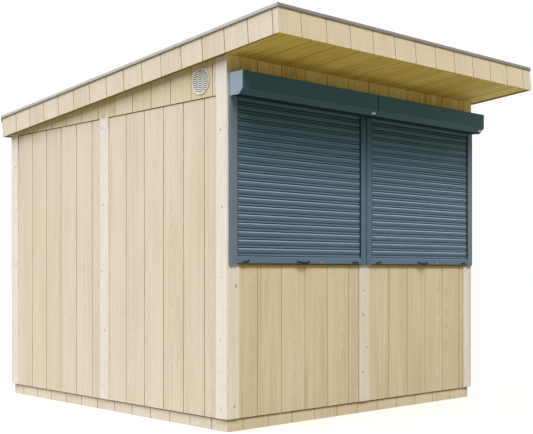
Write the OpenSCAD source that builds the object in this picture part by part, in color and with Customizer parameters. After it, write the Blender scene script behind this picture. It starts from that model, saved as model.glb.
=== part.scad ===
// Timber market hut with a sloping roof and two roller shutters over the serving openings.
// Millimetres, +Z up. The front faces -Y. The origin is on the ground, at the middle of the walls.

/* [Body] */
// Width of the hut over the corner boards
hut_w = 2388; // [2000:1:3400]
// Depth of the hut over the corner boards
hut_d = 2514; // [2000:1:3400]
// Height of the roof's underside at the front corner boards
front_h = 2176; // [2140:1:2700]
// Height of the base frame that the walls stand on
plinth_h = 75; // [60:1:150]
// How far the base frame stands back from the corner boards
plinth_inset = 20; // [5:1:26]
// Thickness of the base frame's timbers
plinth_t = 45; // [38:1:60]

/* [Walls] */
// Face width of a corner, both ways
corner_w = 97; // [85:1:120]
// Thickness of the corner boards
board_t = 34; // [24:1:40]
// Gap between the back corner boards and the roof
back_board_gap = 43; // [0:1:60]
// Width of the posts in the middle of each wall
middle_w = 100; // [80:1:140]
// Thickness of the wall panels
panel_t = 28; // [20:1:34]
// How far the wall panels stand back from the corner boards
panel_inset = 7; // [3:1:10]
// How far the gable panels stand back from the corner boards
gable_inset = 2; // [0:0.5:3]
// Height of the gable panels at their low end, at the back
gable_low_h = 21; // [10:1:60]

/* [Floor] */
// Thickness of the floor
floor_t = 18; // [15:1:28]
// Width of the floor bearers
bearer_w = 45; // [38:1:70]

/* [Serving openings] */
// Height of the top of the panels under the openings
sill_z = 995; // [850:1:1100]
// Height of the top of the openings
head_z = 1945; // [1800:1:1960]

/* [Shutters] */
// Height of the lower end of the guide rails
rail_z = 969; // [820:1:990]
// Face width of a guide rail
rail_w = 54; // [50:1:70]
// Depth of a guide rail
rail_d = 18; // [17:1:30]
// Thickness of a guide rail behind the slats
rail_back = 3; // [2:0.5:4]
// Distance from the side of the hut to the shutter
shutter_inset = 14; // [8:1:30]
// Thickness of the slats
slat_t = 8; // [7:0.5:9]
// Height of one slat
slat_pitch = 49; // [37:1:60]
// How far the slats reach into a guide rail
slat_grip = 20; // [12:1:24]
// Running clearance between the slats and the rail, on each side
slat_gap = 0.5; // [0.3:0.1:0.8]
// Height of the bottom bar
bar_h = 49; // [40:1:60]
// Depth of the bottom bar between the rails
bar_t = 14; // [12:1:16]

/* [Shutter boxes] */
// Height of the underside of the shutter boxes
box_z = 1937; // [1800:1:1944]
// Height of a shutter box
box_h = 134; // [120:1:150]
// How far a shutter box stands out
box_d = 121; // [110:1:150]
// Size of the slanted lower front edge
box_slant = 34; // [20:1:45]
// Thickness of the box's sheet metal
box_t = 2; // [1.5:0.5:3]
// Thickness of the box's end caps
box_cap_t = 4; // [2:1:6]

/* [Shutter fittings] */
// Width of the pull handles
handle_w = 106; // [80:1:130]
// How far the pull handles stand out
handle_d = 18; // [12:1:25]
// Thickness of the handle's bar
handle_t = 6; // [4:1:8]
// Diameter of the lock cylinders
lock_dia = 17; // [14:1:22]
// Distance from the middle of a shutter to its lock
lock_x = 156; // [120:1:250]
// Width of a bar stop
stop_w = 56; // [30:1:70]
// Distance from a guide rail to the middle of a bar stop
stop_x = 60; // [45:1:90]
// Distance from the right end of a box to the middle of its crank plate
crank_x = 30; // [28:1:120]
// Width of a crank plate
crank_w = 50; // [40:1:54]

/* [Roof] */
// Slope of the roof, falling to the back
roof_pitch = 4.8; // [2:0.1:5.5]
// Front overhang along the slope
front_overhang = 479; // [200:1:700]
// Back overhang along the slope
back_overhang = 55; // [40:1:150]
// Overhang at each side
side_overhang = 42; // [30:1:150]
// Thickness of the sheet under the roof
soffit_t = 15; // [12:1:20]
// Height of the rafters
rafter_h = 115; // [90:1:150]
// Width of the rafters
rafter_w = 45; // [38:1:60]
// Number of rafters
rafter_count = 5; // [3:1:7]
// Thickness of the roof deck
deck_t = 18; // [15:1:24]
// Thickness of the roof covering
covering_t = 4; // [2:1:6]
// Thickness of the fascia boards
fascia_t = 18; // [15:1:24]
// How far the fascia boards hang below the roof's underside
fascia_drop = 6.6; // [0:0.1:20]

/* [Roof edge trim] */
// Height of the trim's face
trim_h = 23; // [18:1:40]
// Height of the back trim's face, which drips clear of the fascia
drip_h = 48; // [30:1:70]
// How far the trim's face stands out from the fascia
trim_out = 4.5; // [3:0.5:8]
// How far the back trim's face stands out from the fascia
drip_out = 10; // [5:1:16]
// How far the trim rises above the covering
trim_rise = 5.4; // [3:0.1:10]
// Width of the trim's flange on the roof
trim_flange = 60; // [40:1:90]
// Thickness of the trim's sheet metal
trim_t = 1.5; // [1:0.1:2.5]

/* [Vent] */
// Diameter of the vent's face
vent_dia = 165; // [140:1:180]
// Diameter of the hole through the gable panel
vent_hole = 150; // [120:1:170]
// Distance from the front of the hut to the middle of the vent
vent_y = 235; // [200:1:400]
// Height of the middle of the vent above the joint under the gable panels
vent_rise = 102; // [90:1:110]
// Thickness of the vent's face
vent_t = 6; // [4:1:8]
// Height of one row of vent slots
vent_pitch = 12; // [10:1:16]

/* [Hidden] */
$fn = 64;

wood_pale = [0.88, 0.82, 0.72];
wood_post = [0.91, 0.87, 0.81];
wood_inner = [0.80, 0.70, 0.54];
shutter_grey = [0.30, 0.38, 0.42];
shutter_dark = [0.22, 0.29, 0.32];

half_w = hut_w / 2;
half_d = hut_d / 2;
half_middle = middle_w / 2;
post_w = corner_w - board_t;
// Inner faces of the corners and of the base frame
bay_x = half_w - corner_w;
bay_y = half_d - corner_w;
frame_x = half_w - plinth_inset - plinth_t;
frame_y = half_d - plinth_inset - plinth_t;
gable_t = panel_inset + panel_t - gable_inset;
middle_d = corner_w - board_t;

// Shutters, measured outwards from the front of the corner boards
slot_w = slat_t + 2 * slat_gap;
slat_out = rail_back + slat_gap;
slot_deep = slat_grip + 2;
shutter_x = half_w - shutter_inset;
shutter_mid = shutter_x / 2;
slat_x = shutter_x / 2 - rail_w + slat_grip;
bar_play = 2;
bar_x = shutter_x / 2 - rail_w - bar_play;
bar_front = slat_out + bar_t;
slat_z = rail_z + bar_h;
slat_top = box_z + 60;
slat_groove = 3;
slot_margin = 1.5;
fitting_z = rail_z + 18;
stop_h = 12;
stop_d = 9;
lock_d = 5;
handle_h = 8;
crank_h = 26;
crank_t = 3;
crank_eye_w = 36;
crank_eye_h = 12;

// Roof, measured on the slope from the front of the corner boards
roof_x = half_w + side_overhang;
roof_front = -front_overhang;
roof_back = hut_d / cos(roof_pitch) + back_overhang;
deck_z = soffit_t + rafter_h;
fascia_top = deck_z + deck_t;
roof_top = fascia_top + covering_t;
rafter_step = 2 * (roof_x - fascia_t - rafter_w / 2) / (rafter_count - 1);

vent_gap = 0.4;
vent_clear = 10;
vent_wall = 3;
vent_slot_h = 5;
vent_rim = 8;
vent_rib = 8;

// Height of the roof's underside at a depth y
function soffit_at(y) = front_h - (y + half_d) * tan(roof_pitch);

// Highest joint under the gable panels that still leaves the vent clear of the roof
vent_joint_z = soffit_at(vent_y + vent_dia / 2 - half_d) - vent_dia / 2 - vent_clear - vent_rise;

// Height of the joint between the wall panels and the gable panels
gable_z = min(soffit_at(bay_y) - gable_low_h, vent_joint_z);
vent_z = gable_z + vent_rise;

// Box between its lowest and its highest corner
module block(low, high) {
    translate(low) cube(high - low);
}

// Upright piece from z0 up to the sloping roof, or to a gap below it
module up_to_roof(x0, x1, y0, y1, z0, gap = 0) {
    translate([x0, 0, 0]) rotate([90, 0, 90]) linear_extrude(x1 - x0)
        polygon([[y0, z0], [y1, z0], [y1, soffit_at(y1) - gap], [y0, soffit_at(y0) - gap]]);
}

module both_sides() {
    children();
    mirror([1, 0, 0]) children();
}

module on_roof() {
    translate([0, -half_d, front_h]) rotate([-roof_pitch, 0, 0]) children();
}

// A place on the front of the hut, y counting outwards from the corner boards
module on_front() {
    translate([0, -half_d, 0]) mirror([0, 1, 0]) children();
}

module plinth_front() {
    outer = half_w - plinth_inset;
    color(wood_pale) block([-outer, plinth_inset - half_d, 0], [outer, -frame_y, plinth_h]);
}

module plinth_back() {
    outer = half_w - plinth_inset;
    color(wood_pale) block([-outer, frame_y, 0], [outer, half_d - plinth_inset, plinth_h]);
}

module plinth_sides() {
    color(wood_pale) both_sides()
        block([frame_x, -frame_y, 0], [half_w - plinth_inset, frame_y, plinth_h]);
}

// Three bearers from front to back; the middle one lies on the origin
module floor_bearers() {
    side_x = frame_x / 2;
    color(wood_inner) for (x = [-side_x, 0, side_x])
        block([x - bearer_w / 2, -frame_y, 0], [x + bearer_w / 2, frame_y, plinth_h - floor_t]);
}

module floor_deck() {
    color(wood_inner) block([-frame_x, -frame_y, plinth_h - floor_t], [frame_x, frame_y, plinth_h]);
}

module corner_posts() {
    color(wood_inner) both_sides() {
        up_to_roof(bay_x, bay_x + post_w, -bay_y - post_w, -bay_y, plinth_h);
        up_to_roof(bay_x, bay_x + post_w, bay_y, bay_y + post_w, plinth_h);
    }
}

// Narrow boards beside the edges of the side boards
module corner_boards_front() {
    color(wood_post) both_sides()
        up_to_roof(bay_x, half_w - board_t, -half_d, board_t - half_d, plinth_h);
}

module corner_boards_back() {
    color(wood_post) both_sides()
        up_to_roof(bay_x, half_w, half_d - board_t, half_d, plinth_h, back_board_gap);
}

module corner_boards_sides() {
    color(wood_post) both_sides() {
        up_to_roof(half_w - board_t, half_w, -half_d, -bay_y, plinth_h);
        up_to_roof(half_w - board_t, half_w, bay_y, half_d - board_t, plinth_h);
    }
}

module front_wall_panels() {
    y = panel_inset - half_d;
    color(wood_pale) both_sides() block([half_middle, y, plinth_h], [bay_x, y + panel_t, sill_z]);
}

module front_middle_post() {
    color(wood_post) block([-half_middle, -half_d, plinth_h], [half_middle, middle_d - half_d, head_z]);
}

// Panel over the openings, resting on the middle post
module front_head_panel() {
    y = panel_inset - half_d;
    color(wood_pale) up_to_roof(-bay_x, bay_x, y, y + panel_t, head_z);
}

module right_wall_panels() {
    x = half_w - panel_inset;
    color(wood_pale) {
        block([x - panel_t, -bay_y, plinth_h], [x, -half_middle, gable_z]);
        block([x - panel_t, half_middle, plinth_h], [x, bay_y, gable_z]);
    }
}

module right_middle_post() {
    color(wood_post) block([half_w - middle_d, -half_middle, plinth_h], [half_w, half_middle, gable_z]);
}

module right_gable_panel() {
    x = half_w - gable_inset;
    color(wood_pale) up_to_roof(x - gable_t, x, -bay_y, bay_y, gable_z);
}

module left_wall_panels() {
    mirror([1, 0, 0]) right_wall_panels();
}

module left_middle_post() {
    mirror([1, 0, 0]) right_middle_post();
}

module left_gable_panel() {
    color(wood_pale) difference() {
        mirror([1, 0, 0]) right_gable_panel();
        at_vent() translate([0, 0, -2 * gable_t]) cylinder(h = 3 * gable_t, d = vent_hole);
    }
}

module back_wall_panels() {
    y = half_d - panel_inset;
    color(wood_pale) both_sides() up_to_roof(half_middle, bay_x, y - panel_t, y, plinth_h);
}

module back_middle_post() {
    color(wood_post) up_to_roof(-half_middle, half_middle, half_d - middle_d, half_d, plinth_h);
}

// The middle of the vent on the gable's outer face, with z pointing out of the hut
module at_vent() {
    translate([gable_inset - half_w, vent_y - half_d, vent_z]) rotate([90, 0, -90]) children();
}

// Face plate with three columns of staggered slots, and a sleeve through the gable panel
module vent_grille() {
    slot_area = vent_hole / 2 - vent_rim;
    column = slot_area / 3;
    color([0.93, 0.92, 0.90]) at_vent() difference() {
        union() {
            cylinder(h = vent_t, d = vent_dia);
            translate([0, 0, -gable_t]) cylinder(h = gable_t + 1, d = vent_hole - 2 * vent_gap);
        }
        translate([0, 0, -gable_t - 1])
            cylinder(h = gable_t + 1, d = vent_hole - 2 * vent_gap - 2 * vent_wall);
        vent_column(-column, column, slot_area, 0);
        vent_column(column + vent_rib, slot_area, slot_area, vent_pitch / 2);
        vent_column(-slot_area, -column - vent_rib, slot_area, vent_pitch / 2);
    }
}

// Column of slots from x0 to x1, cut short where the round slot area ends
module vent_column(x0, x1, slot_area, shift) {
    reach = slot_area - vent_slot_h;
    rows = floor((reach - shift) / vent_pitch);
    for (row = [-rows - (shift > 0 ? 1 : 0):rows]) {
        y = row * vent_pitch + shift;
        end = sqrt(pow(slot_area, 2) - pow(abs(y) + vent_slot_h / 2, 2));
        low = max(x0, -end);
        high = min(x1, end);
        if (high - low > vent_slot_h)
            translate([low, y - vent_slot_h / 2, -1]) cube([high - low, vent_slot_h, vent_t + 2]);
    }
}

// Sheet metal housing with end caps and a slit below for the slats
module shutter_box(side) {
    front = box_d - box_slant;
    inner = box_t * (sqrt(2) - 1);
    x0 = side < 0 ? -shutter_x : 0;
    color(shutter_dark) on_front() difference() {
        translate([x0, 0, box_z]) rotate([90, 0, 90]) linear_extrude(shutter_x)
            polygon([[0, 0], [front, 0], [box_d, box_slant], [box_d, box_h], [0, box_h]]);
        translate([x0 + box_cap_t, 0, box_z]) rotate([90, 0, 90])
            linear_extrude(shutter_x - 2 * box_cap_t)
            polygon([
                [box_t, box_t], [front - inner, box_t], [box_d - box_t, box_slant + inner],
                [box_d - box_t, box_h - box_t], [box_t, box_h - box_t]
            ]);
        translate([x0 + box_cap_t, slat_out - slot_margin, box_z - 1])
            cube([shutter_x - 2 * box_cap_t, slat_t + 2 * slot_margin, box_t + 2]);
    }
}

module shutter_box_left() {
    shutter_box(-1);
}

module shutter_box_right() {
    shutter_box(1);
}

// Channel with its slot facing +x
module guide_rail() {
    difference() {
        cube([rail_w, rail_d, box_z - rail_z]);
        translate([rail_w - slot_deep, rail_back, -1])
            cube([slot_deep + 1, slot_w, box_z - rail_z + 2]);
    }
}

module guide_rails(side) {
    color(shutter_grey) on_front() translate([side * shutter_mid, 0, rail_z]) both_sides()
        translate([-shutter_x / 2, 0, 0]) guide_rail();
}

module guide_rails_left() {
    guide_rails(-1);
}

module guide_rails_right() {
    guide_rails(1);
}

// Interlocking slats, with a groove on the outside at each joint
module curtain(side) {
    slats = floor((slat_top - slat_z) / slat_pitch);
    joints = [for (i = [1:slats]) each [
        [slat_out + slat_t, slat_z + i * slat_pitch - slat_groove],
        [slat_out + slat_t - slat_groove, slat_z + i * slat_pitch],
        [slat_out + slat_t, slat_z + i * slat_pitch + slat_groove]
    ]];
    color(shutter_grey) on_front() translate([side * shutter_mid - slat_x, 0, 0])
        rotate([90, 0, 90]) linear_extrude(2 * slat_x)
        polygon(concat(
            [[slat_out, slat_z], [slat_out + slat_t, slat_z]], joints,
            [[slat_out + slat_t, slat_top], [slat_out, slat_top]]
        ));
}

module curtain_left() {
    curtain(-1);
}

module curtain_right() {
    curtain(1);
}

// Bar under the slats: its ends run in the rails
module bottom_bar(side) {
    color(shutter_grey) on_front() translate([side * shutter_mid, 0, 0]) {
        block([-slat_x, slat_out, rail_z], [slat_x, slat_out + slat_t, slat_z]);
        block([-bar_x, slat_out, rail_z], [bar_x, bar_front, slat_z]);
    }
}

module bottom_bar_left() {
    bottom_bar(-1);
}

module bottom_bar_right() {
    bottom_bar(1);
}

// Fittings on the front of both bottom bars
module on_bars() {
    for (side = [-1, 1]) on_front() translate([side * shutter_mid, bar_front, fitting_z]) children();
}

module pull_handles() {
    reach = handle_w / 2;
    color([0.12, 0.13, 0.14]) on_bars() {
        block([-reach, handle_d - handle_t, -handle_h / 2], [reach, handle_d, handle_h / 2]);
        for (x = [-reach, reach - handle_t])
            block([x, 0, -handle_h / 2], [x + handle_t, handle_d, handle_h / 2]);
    }
}

module lock_cylinders() {
    color([0.75, 0.62, 0.35]) on_bars() translate([lock_x, 0, 0]) rotate([-90, 0, 0])
        cylinder(h = lock_d, d = lock_dia);
}

module bar_stops() {
    x = shutter_x / 2 - rail_w - stop_x;
    color([0.10, 0.11, 0.12]) on_bars() for (side = [-1, 1]) translate([side * x, 0, 0])
        block([-stop_w / 2, 0, -stop_h / 2], [stop_w / 2, stop_d, stop_h / 2]);
}

// Plate with round ends, upright in x and z, its thickness along y
module oval_plate(width, height, thick) {
    straight = width - height;
    rotate([-90, 0, 0]) union() {
        translate([-straight / 2, -height / 2, 0]) cube([straight, height, thick]);
        for (x = [-straight / 2, straight / 2]) translate([x, 0, 0]) cylinder(h = thick, d = height);
    }
}

// Oval plates on the boxes' slanted edges, with a raised eye for the crank
module crank_plates() {
    color([0.70, 0.72, 0.74]) for (end = [0, shutter_x]) on_front()
        translate([end - crank_x, box_d - box_slant / 2, box_z + box_slant / 2]) rotate([-45, 0, 0]) {
            oval_plate(crank_w, crank_h, crank_t);
            oval_plate(crank_eye_w, crank_eye_h, 2 * crank_t);
        }
}

module roof_soffit() {
    x = roof_x - fascia_t;
    color(wood_inner) on_roof()
        block([-x, roof_front + fascia_t, 0], [x, roof_back - fascia_t, soffit_t]);
}

module roof_rafters() {
    color(wood_inner) on_roof() for (i = [0:rafter_count - 1])
        translate([(i - (rafter_count - 1) / 2) * rafter_step, 0, 0])
        block(
            [-rafter_w / 2, roof_front + fascia_t, soffit_t],
            [rafter_w / 2, roof_back - fascia_t, deck_z]
        );
}

module roof_deck() {
    x = roof_x - fascia_t;
    color(wood_inner) on_roof()
        block([-x, roof_front + fascia_t, deck_z], [x, roof_back - fascia_t, fascia_top]);
}

module roof_covering() {
    color([0.28, 0.29, 0.30]) on_roof()
        block([-roof_x, roof_front, fascia_top], [roof_x, roof_back, roof_top]);
}

module fascia_front() {
    color(wood_pale) on_roof()
        block([-roof_x, roof_front, -fascia_drop], [roof_x, roof_front + fascia_t, fascia_top]);
}

module fascia_back() {
    color(wood_pale) on_roof()
        block([-roof_x, roof_back - fascia_t, -fascia_drop], [roof_x, roof_back, fascia_top]);
}

module fascia_right() {
    color(wood_pale) on_roof() block(
        [roof_x - fascia_t, roof_front + fascia_t, -fascia_drop],
        [roof_x, roof_back - fascia_t, fascia_top]
    );
}

module fascia_left() {
    mirror([1, 0, 0]) fascia_right();
}

// Side trims run past the front and back ones, which fit between them
module trim_right() {
    face = roof_x + trim_out;
    front = roof_front - trim_out;
    back = roof_back + drip_out;
    color([0.62, 0.63, 0.64]) on_roof() {
        block([face - trim_t, front, roof_top + trim_rise - trim_h], [face, back, roof_top + trim_rise]);
        block([roof_x - trim_flange, front, roof_top], [face, back, roof_top + trim_t]);
    }
}

module trim_left() {
    mirror([1, 0, 0]) trim_right();
}

// Face and flange of a trim across the roof; out and inwards run along y
module cross_trim(out, height) {
    inner_x = roof_x - trim_flange;
    face_x = roof_x + trim_out - trim_t;
    flange_y = trim_flange + out;
    block([-face_x, 0, roof_top + trim_rise - height], [face_x, trim_t, roof_top]);
    block([-inner_x, 0, roof_top - trim_t], [inner_x, trim_t, roof_top + trim_rise]);
    block([-inner_x, 0, roof_top], [inner_x, flange_y, roof_top + trim_t]);
}

module trim_front() {
    color([0.55, 0.56, 0.56]) on_roof() translate([0, roof_front - trim_out, 0])
        cross_trim(trim_out, trim_h);
}

module trim_back() {
    color([0.55, 0.56, 0.56]) on_roof() translate([0, roof_back + drip_out, 0])
        mirror([0, 1, 0]) cross_trim(drip_out, drip_h);
}

plinth_front();
plinth_back();
plinth_sides();
floor_bearers();
floor_deck();
corner_posts();
corner_boards_front();
corner_boards_back();
corner_boards_sides();
front_wall_panels();
front_middle_post();
front_head_panel();
left_wall_panels();
left_middle_post();
left_gable_panel();
right_wall_panels();
right_middle_post();
right_gable_panel();
back_wall_panels();
back_middle_post();
vent_grille();
shutter_box_left();
shutter_box_right();
guide_rails_left();
guide_rails_right();
curtain_left();
curtain_right();
bottom_bar_left();
bottom_bar_right();
pull_handles();
lock_cylinders();
bar_stops();
crank_plates();
roof_soffit();
roof_rafters();
roof_deck();
roof_covering();
fascia_front();
fascia_back();
fascia_left();
fascia_right();
trim_front();
trim_back();
trim_left();
trim_right();
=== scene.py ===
import math
import random

import bmesh
import bpy
from mathutils import Matrix, Vector


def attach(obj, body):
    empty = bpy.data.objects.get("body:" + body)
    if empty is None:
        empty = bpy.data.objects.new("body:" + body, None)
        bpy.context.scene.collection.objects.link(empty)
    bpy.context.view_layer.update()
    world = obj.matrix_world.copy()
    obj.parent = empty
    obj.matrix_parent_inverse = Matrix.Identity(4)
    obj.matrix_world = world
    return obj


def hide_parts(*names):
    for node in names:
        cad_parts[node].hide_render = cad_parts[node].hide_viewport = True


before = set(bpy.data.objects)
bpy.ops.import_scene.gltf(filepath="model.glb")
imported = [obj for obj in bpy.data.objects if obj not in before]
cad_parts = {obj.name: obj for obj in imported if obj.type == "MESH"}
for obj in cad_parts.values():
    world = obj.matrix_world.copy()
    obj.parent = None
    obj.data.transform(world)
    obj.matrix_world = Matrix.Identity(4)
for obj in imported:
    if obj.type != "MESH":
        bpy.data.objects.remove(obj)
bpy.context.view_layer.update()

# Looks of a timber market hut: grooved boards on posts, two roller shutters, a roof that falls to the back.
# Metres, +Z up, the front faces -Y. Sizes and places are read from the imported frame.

# Boards: the grooves in the outer face of the panels, and where the first ones lie from a corner
BOARD_PITCH = 0.2
GROOVE_W = 0.007
GROOVE_FLOOR_W = 0.004
GROOVE_DEEP = 0.0035
END_CUT_W = 0.005
LEAST_STRIP = 0.012
FRONT_WALL_GROOVE = 0.245
SIDE_WALL_GROOVE = 0.209
GABLE_GROOVE = 0.129
FRONT_PLINTH_GROOVE = 0.145
SIDE_PLINTH_GROOVE = 0.161
FRONT_FASCIA_GROOVE = 0.1755
SIDE_FASCIA_GROOVE = 0.0445

# Darker strips along the tops of boards, which lie in the shade of what is over them
PLINTH_SHADE_H = 0.007
WALL_SHADE_H = 0.006
BAR_SHADOW_H = 0.021

# Planks: their eased edges, and how unevenly knots lie along and across them
POST_ROUND = 0.003
KNOT_UNEVEN = 0.15
KNOT_ACROSS = (0.3, 0.8)
KNOT_SMALLEST = 0.55

# How each wall's planks grew: the lowest knot's height, the distance between knots, the largest radius
FRONT_LEFT_GROWTH = (0.17, 0.60, 0.0075)
FRONT_RIGHT_GROWTH = (0.33, 0.28, 0.004)
FRONT_MIDDLE_GROWTH = (0.24, 0.19, 0.0055)
SIDE_GROWTH = (0.15, 0.40, 0.0045)
SIDE_MIDDLE_GROWTH = (0.48, 0.45, 0.0055)
BACK_GROWTH = (0.40, 0.45, 0.006)

# Roof: felt laps and folded edge trims
FELT_LENGTHS = 3
FELT_LAP = 0.08
LAP_THICK = 0.003
TRIM_FLANGE = 0.06
TRIM_SHEET = 0.0015
TRIM_HEM = 0.003
DRIP_H = 0.0045

# Vent: its hole, rim and sleeve, and the ribs and blades of its face, which are less proud than the rim
VENT_HOLE = 0.15
VENT_RIM = 0.010
VENT_WALL = 0.003
RIB_W = 0.004
RIB_FROM_MIDDLE = 0.021
BLADE_PITCH = 0.012
BLADE_ROWS = 7
BLADE_LEAST = 0.006
BLADE_PROUD = 0.75

# Shutter curtains: slats, with the turns in degrees along their bowed bodies, and the heights between
# which their paint goes over to the upper tone, as painted shade under the boxes
SLAT_PITCH = 0.049
SLAT_BROW = 0.0400
SLAT_BOW = 0.0400
BODY_TURNS = range(-32, 5, 4)
SLAT_HOLLOW = 0.0058
SLAT_PLAY = 0.001
SHADE_FADE_LOW = 1.35
SHADE_FADE_H = 0.50

# Guide rails with their slots and brushes, bottom bars, and boxes of folded sheet
RAIL_SLOT_BACK = 0.003
RAIL_SLOT_FRONT = 0.012
RAIL_SLOT_DEEP = 0.022
BRUSH_W = 0.008
BRUSH_THICK = 0.0015
SEAM_W = 0.003
SEAM_DEEP = 0.008
BAR_INSET = 0.022
BAR_TONGUE = 0.008
RUBBER_H = 0.005
BOX_SHEET = 0.002
BOX_SLANT = 0.034
BOX_CAP = 0.004
BOX_SLIT = 0.013
BOX_FOLD = 0.003
BOX_LIP = 0.014
BOX_SEAM = 0.004

# Fittings: bow handles, which bend back from this part of their half length, stop levers and crank plates
HANDLE_THICK = 0.007
HANDLE_H = 0.012
HANDLE_DIP = 0.0075
HANDLE_LIFT = 0.0105
HANDLE_BEND = 0.62
HANDLE_STEPS = 18
LEVER_THICK = 0.006
PLATE_H = 0.003

# Studio: soft lamps as (azimuth, elevation, width in degrees, strength, tint), and the light of the room
LAMPS = {
    "left_panel": (-126, 40, 44, 3.15, (0.87, 0.92, 1.0)),
    "front_panel": (-18, 47, 24, 2.54, (1.0, 0.975, 0.83)),
    "back_panel": (106, 25, 60, 2.1, (1.0, 0.98, 0.95)),
}
FLOOR_BOUNCE = (0.34, 0.29, 0.185)
FLOOR_SEEN = (0.5, 0.5, 0.5)
FLOOR_GLOW = 0.55
FLOOR_HALF = 60
ROOM_COLOUR = (1.0, 0.90, 0.62)
ROOM_LIGHT = 0.05

# Working values: a small length, the sides of round pieces, and the least part of its normal that a face
# has along a direction to count as facing it
TINY = 0.0005
ROUND_SIDES = 48
RING_STEPS = 64
FACING = 0.9

# Directions in the frame: to the right, from the front to the back, and up
ACROSS = Vector((1, 0, 0))
INTO = Vector((0, 1, 0))
UP = Vector((0, 0, 1))

# The main view: the eye's place and height, how it is turned, and its lens
EYE = (-4.843, -5.501, 0.934)
EYE_TURN = -43.03
LENS_MM = 65.85
LENS_RISE = 0.1004


# -------------------------------- reading the frame

def extent(points, turn=Matrix()):
    """Lowest and highest corner of some points, along the directions of a turned frame."""
    back = turn.inverted()
    seen = [back @ point for point in points]
    return tuple(Vector([limit(p[i] for p in seen) for i in range(3)]) for limit in (min, max))


def solids(node):
    """The points of each separate solid of a node, from left to right and front to back."""
    bm = bmesh.new()
    bm.from_mesh(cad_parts[node].data)
    weld(bm)
    left = set(bm.verts)
    found = []
    while left:
        queue = [left.pop()]
        group = []
        while queue:
            vert = queue.pop()
            group.append(vert.co.copy())
            near = [edge.other_vert(vert) for edge in vert.link_edges]
            fresh = [other for other in near if other in left]
            left.difference_update(fresh)
            queue += fresh
        found.append(group)
    bm.free()
    return sorted(found, key=lambda group: [round(value, 3) for value in extent(group)[0]])


def solid_extents(node):
    """The lowest and highest corner of each separate solid of a node."""
    return [extent(points) for points in solids(node)]


def roof_slope():
    """The turn from the level to the slope of the roof, read from the covering's top face."""
    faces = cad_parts["roof_covering"].data.polygons
    top = max(faces, key=lambda face: face.normal.z * face.area)
    return Matrix.Rotation(-math.atan2(top.normal.y, top.normal.z), 4, "X")


def node_extent(node, turn=Matrix()):
    return extent([vert.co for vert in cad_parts[node].data.vertices], turn)


# Each turn has -Y pointing out of the hut, X across the boards and Z along their grain
FRONT = Matrix()
LEFT = Matrix.Rotation(math.radians(-90), 4, "Z")
RIGHT = Matrix.Rotation(math.radians(90), 4, "Z")
BACK = Matrix.Rotation(math.radians(180), 4, "Z")
ROOF = roof_slope()
UNDER_ROOF = ROOF @ Matrix.Rotation(math.radians(90), 4, "X")

WALL_LEFT = node_extent("corner_boards_sides")[0].x
WALL_FRONT = node_extent("corner_boards_front")[0].y
SOFFIT_LOW = node_extent("roof_soffit", ROOF)[0].z


def under_roof(y):
    """Height of the roof's underside at a depth y."""
    slope = math.atan2(ROOF[2][1], ROOF[1][1])
    return (SOFFIT_LOW + y * math.sin(slope)) / math.cos(slope)


# -------------------------------- shapes

def weld(bm):
    bmesh.ops.remove_doubles(bm, verts=bm.verts, dist=TINY / 10)


def face_outwards(bm):
    bmesh.ops.recalc_face_normals(bm, faces=bm.faces)


def block(low, high):
    """A closed box between two corners."""
    low, high = Vector(low), Vector(high)
    bm = bmesh.new()
    bmesh.ops.create_cube(bm, size=1.0)
    bmesh.ops.scale(bm, vec=high - low, verts=bm.verts)
    bmesh.ops.translate(bm, vec=(low + high) / 2, verts=bm.verts)
    return bm


def round_edges(bm, radius, edges=None, segments=2):
    chosen = bm.edges[:] if edges is None else edges
    bmesh.ops.bevel(
        bm, geom=chosen, offset=radius, segments=segments, profile=0.5,
        affect="EDGES", clamp_overlap=True, material=-1,
    )


def cut_across(bm, place, axis, side=1, clear=False):
    """New edges where a plane crosses the shape. What lies to that side of it may be cleared away."""
    point = Vector()
    point[axis] = place
    normal = Vector()
    normal[axis] = side
    bmesh.ops.bisect_plane(
        bm, geom=bm.verts[:] + bm.edges[:] + bm.faces[:], plane_co=point, plane_no=normal,
        dist=TINY / 100, clear_outer=clear)


def drawn_out(outline, length, rounding=0):
    """A bar: an outline in the plane of X and Y, its corners rounded, drawn out along Z."""
    bm = bmesh.new()
    bm.faces.new([bm.verts.new((x, y, 0)) for x, y in outline])
    if rounding:
        bmesh.ops.bevel(
            bm, geom=bm.verts[:], offset=rounding, segments=2, profile=0.5,
            affect="VERTICES", clamp_overlap=True, material=-1,
        )
    raise_new(bm, bmesh.ops.extrude_face_region(bm, geom=bm.faces[:]), length)
    face_outwards(bm)
    return bm


def raise_new(bm, made, height):
    """Moves what an extrusion has made along Z."""
    moved = [item for item in made["geom"] if isinstance(item, bmesh.types.BMVert)]
    bmesh.ops.translate(bm, vec=(0, 0, height), verts=moved)


def spun(outline):
    """A ring: a closed outline of (radius, height) spun round Z."""
    bm = bmesh.new()
    verts = [bm.verts.new((x, 0, z)) for x, z in outline]
    edges = [bm.edges.new(pair) for pair in zip(verts, verts[1:] + verts[:1])]
    bmesh.ops.spin(
        bm, geom=verts + edges, cent=(0, 0, 0), axis=UP, angle=math.tau, steps=RING_STEPS, use_merge=True)
    weld(bm)
    face_outwards(bm)
    return smooth(bm, 50)


def cylinder(radius, depth, sides=ROUND_SIDES):
    bm = bmesh.new()
    bmesh.ops.create_cone(bm, cap_ends=True, segments=sides, radius1=radius, radius2=radius, depth=depth)
    return bm


def sharp_edges(bm, angle=60):
    return [edge for edge in bm.edges if edge.calc_face_angle(0) > math.radians(angle)]


def sink_top(bm, rim, deep):
    """Lowers the top face inside a rim, and gives the lowered face."""
    top = max(bm.faces, key=lambda face: (round(face.calc_center_median().z, 4), face.calc_area()))
    bmesh.ops.inset_region(bm, faces=[top], thickness=rim)
    bmesh.ops.translate(bm, vec=-deep * UP, verts=top.verts)
    return top


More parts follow.
